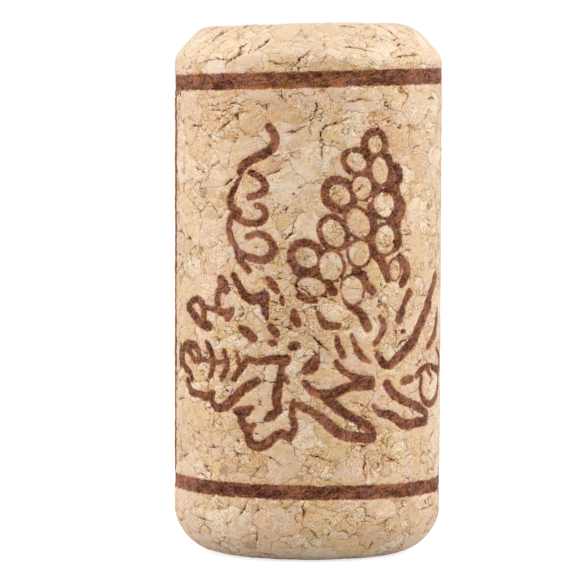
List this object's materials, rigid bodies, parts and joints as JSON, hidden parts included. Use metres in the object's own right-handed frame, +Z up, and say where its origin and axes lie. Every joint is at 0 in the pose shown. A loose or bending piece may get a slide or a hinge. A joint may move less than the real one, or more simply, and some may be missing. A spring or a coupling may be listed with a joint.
{
  "type": "cork stopper",
  "caption": "Cylindrical agglomerated-cork bottle stopper with a rounded foot, a chamfered top, branded rings and a vine ornament.",
  "frame": {"origin": "centre of the foot's flat face, on the stopper's axis", "axes": "+Z up along the axis from the foot to the chamfered top; -Y is the front, the middle of the branded ornament; +X is to the right of someone who looks at the front"},
  "size_m": [0.0224, 0.0225, 0.0445],
  "materials": {
    "cork": "matte agglomerated cork of small tan granules, with dark brown branded lines"
  },
  "bodies": {
    "root": {"cork_stopper": "cork"}
  },
  "joints": []
}
